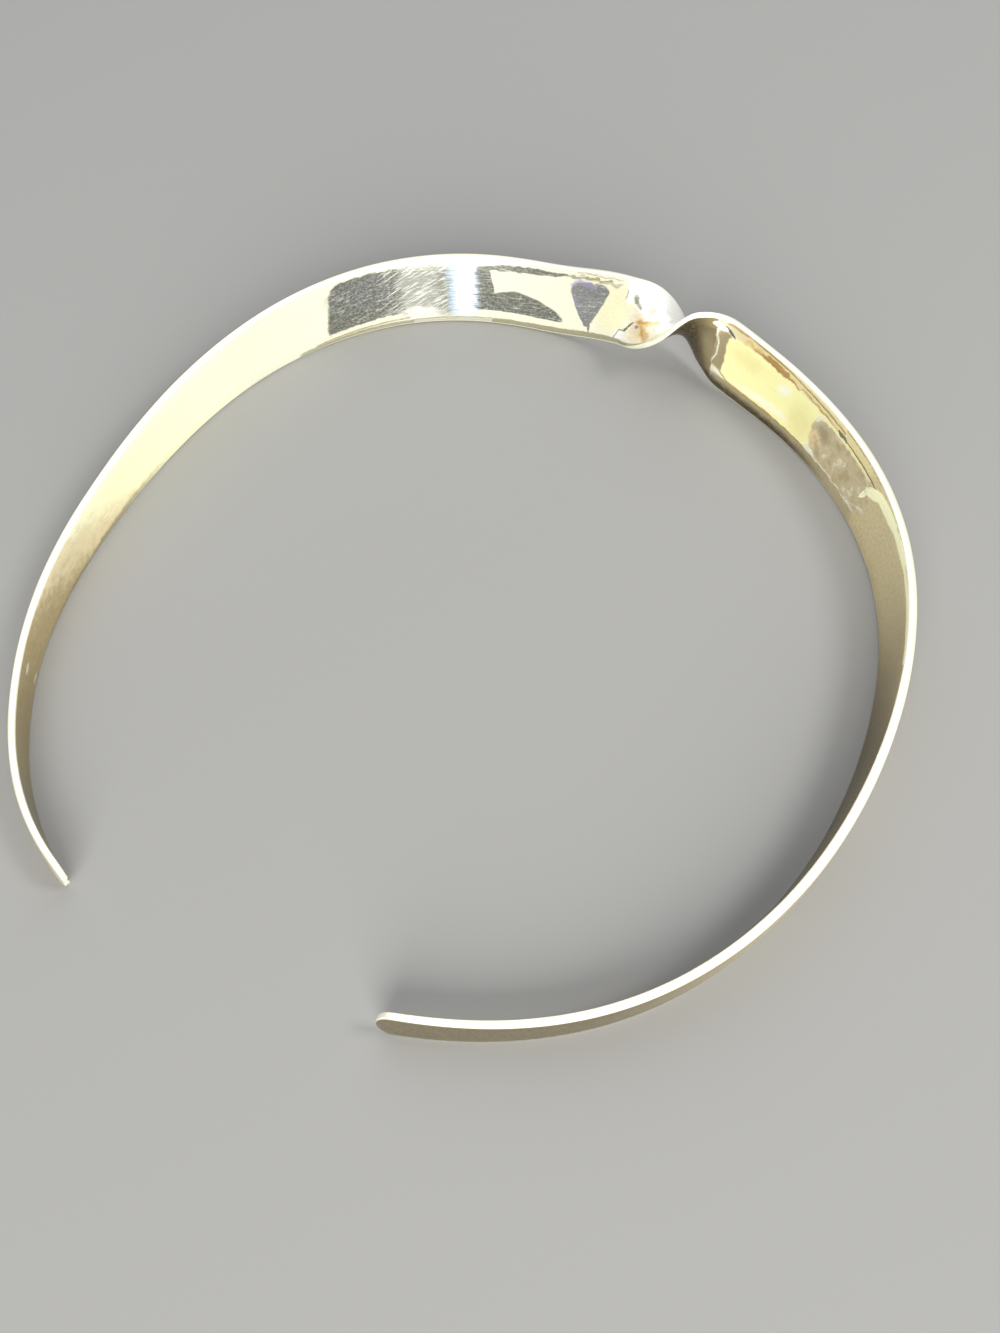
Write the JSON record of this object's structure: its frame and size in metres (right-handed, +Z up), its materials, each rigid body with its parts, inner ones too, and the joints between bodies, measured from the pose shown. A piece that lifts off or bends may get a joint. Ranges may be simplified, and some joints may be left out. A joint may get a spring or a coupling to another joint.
{
  "type": "open collar choker with a twisted front",
  "caption": "Open neck collar: one flat silver band bent into a ring, with a half twist at the throat and arms that taper to rounded ends at the nape.",
  "frame": {"origin": "middle of the ring's outline, on the surface that it lies on", "axes": "+Z up through the ring, -Y towards the twist at the throat, +Y towards the gap at the nape, +X to the wearer's left"},
  "size_m": [0.1308, 0.1352, 0.0149],
  "materials": {
    "silver": "polished silver with fine lengthwise scratches, satin towards the ends, faint brown tarnish along the edges"
  },
  "bodies": {
    "root": {"collar_band": "silver"}
  },
  "joints": []
}
